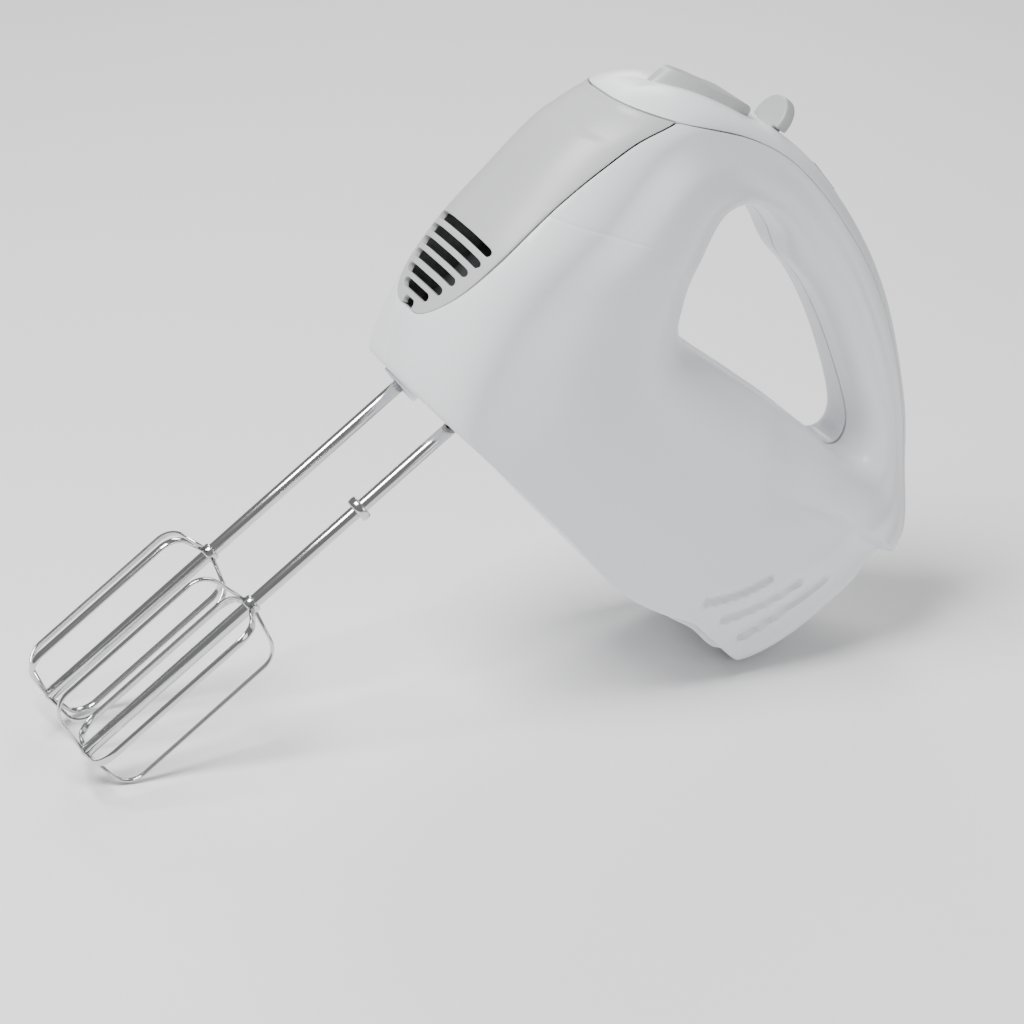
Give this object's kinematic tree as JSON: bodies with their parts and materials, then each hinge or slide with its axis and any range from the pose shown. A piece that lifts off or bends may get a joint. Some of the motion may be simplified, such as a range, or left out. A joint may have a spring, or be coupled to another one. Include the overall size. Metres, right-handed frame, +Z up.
{
  "type": "hand mixer",
  "caption": "Corded hand mixer with a loop handle, twin wire beaters, thumb ejector, speed lever and turbo key, and its motor, worm drive and switches inside the split shells.",
  "frame": {"origin": "centre of the bounding box's footprint, on the table the mixer rests on", "axes": "+X towards the tail of the housing, away from the beaters; +Y towards the right-hand side (the side with the screws); +Z up, with the mixer leaning at rest on its heel and beater tips"},
  "size_m": [0.316, 0.0794, 0.2147],
  "materials": {
    "white_plastic": "satin gloss moulding",
    "pale_grey_plastic": "satin moulding",
    "grey_plastic": "satin moulding",
    "dark_plastic": "matt moulding",
    "natural_plastic": "matt nylon moulding",
    "chrome": "polished plating",
    "steel": "turned",
    "screw_steel": "zinc plated",
    "laminated_steel": "stacked laminations",
    "bronze": "sintered",
    "copper": "enamelled wire",
    "carbon": "pressed carbon",
    "circuit_board": "laminate",
    "capacitor": "dipped film capacitor"
  },
  "bodies": {
    "housing": {"left_shell": "white_plastic", "right_shell": "white_plastic", "top_cover": "white_plastic", "front_cover": "pale_grey_plastic", "housing_screws": "screw_steel", "socket_ring": "natural_plastic", "cord_gland": "dark_plastic", "gearbox_frame": "natural_plastic", "spindle_bushes": "bronze", "worm_bushes": "bronze", "stator_core": "laminated_steel", "field_coils": "copper", "rear_bracket": "natural_plastic", "rear_bearing": "steel", "left_brush_holder": "dark_plastic", "right_brush_holder": "dark_plastic", "left_brush": "carbon", "right_brush": "carbon", "speed_switch": "dark_plastic", "turbo_switch": "dark_plastic", "circuit_board": "circuit_board", "suppressor_capacitor": "capacitor", "terminal_block": "natural_plastic", "eject_spring": "steel", "turbo_spring": "steel"},
    "rotor": {"motor_shaft": "steel", "worm": "steel", "armature_core": "laminated_steel", "armature_windings": "copper", "commutator": "copper", "cooling_fan": "natural_plastic"},
    "left_drive": {"left_spindle": "steel", "left_worm_wheel": "natural_plastic"},
    "right_drive": {"right_spindle": "steel", "right_worm_wheel": "natural_plastic"},
    "left_pin": {"left_ejector_pin": "steel"},
    "right_pin": {"right_ejector_pin": "steel"},
    "left_beater": {"left_beater_stem": "chrome", "left_beater_blades": "chrome", "left_beater_collar": "chrome"},
    "right_beater": {"right_beater_stem": "chrome", "right_beater_blades": "chrome"},
    "ejector": {"eject_button": "grey_plastic", "eject_yoke": "natural_plastic"},
    "speed_control": {"speed_lever": "grey_plastic"},
    "turbo_control": {"turbo_button": "grey_plastic"}
  },
  "joints": [
    {"name": "rotor_spin", "type": "hinge", "parent": "housing", "child": "rotor", "pos_m": [0.00727, 0.00024, 0.13044], "axis": [0.6018, 0, -0.7986], "continuous": true},
    {"name": "left_spindle_spin", "type": "hinge", "parent": "housing", "child": "left_drive", "pos_m": [-0.02308, -0.02001, 0.10757], "axis": [0.7986, 0, 0.6018], "continuous": true},
    {"name": "right_spindle_spin", "type": "hinge", "parent": "housing", "child": "right_drive", "pos_m": [-0.02308, 0.02049, 0.10757], "axis": [0.7986, 0, 0.6018], "continuous": true},
    {"name": "eject_press", "type": "slide", "parent": "housing", "child": "ejector", "axis": [-0.7986, 0, -0.6018], "range_m": [0, 0.005], "stiffness_N_per_m": 500, "springref_m": -0.004, "deforming": ["eject_spring"]},
    {"name": "left_pin_slide", "type": "slide", "parent": "left_drive", "child": "left_pin", "axis": [-0.7986, 0, -0.6018], "range_m": [0, 0.005]},
    {"name": "right_pin_slide", "type": "slide", "parent": "right_drive", "child": "right_pin", "axis": [-0.7986, 0, -0.6018], "range_m": [0, 0.005]},
    {"name": "left_beater_pull", "type": "slide", "parent": "left_pin", "child": "left_beater", "axis": [-0.7986, 0, -0.6018], "range_m": [0, 0.045]},
    {"name": "right_beater_pull", "type": "slide", "parent": "right_pin", "child": "right_beater", "axis": [-0.7986, 0, -0.6018], "range_m": [0, 0.045]},
    {"name": "speed_slide", "type": "slide", "parent": "housing", "child": "speed_control", "axis": [0.7837, 0, -0.6211], "range_m": [0, 0.01]},
    {"name": "turbo_press", "type": "slide", "parent": "housing", "child": "turbo_control", "axis": [-0.7986, 0, -0.6018], "range_m": [0, 0.0016], "stiffness_N_per_m": 800, "springref_m": -0.002, "deforming": ["turbo_spring"]}
  ],
  "couplings": [
    {"joint": "left_spindle_spin", "follows": "rotor_spin", "ratio": 0.071429},
    {"joint": "right_spindle_spin", "follows": "rotor_spin", "ratio": -0.071429},
    {"joint": "left_pin_slide", "follows": "eject_press", "ratio": 1},
    {"joint": "right_pin_slide", "follows": "eject_press", "ratio": 1}
  ]
}
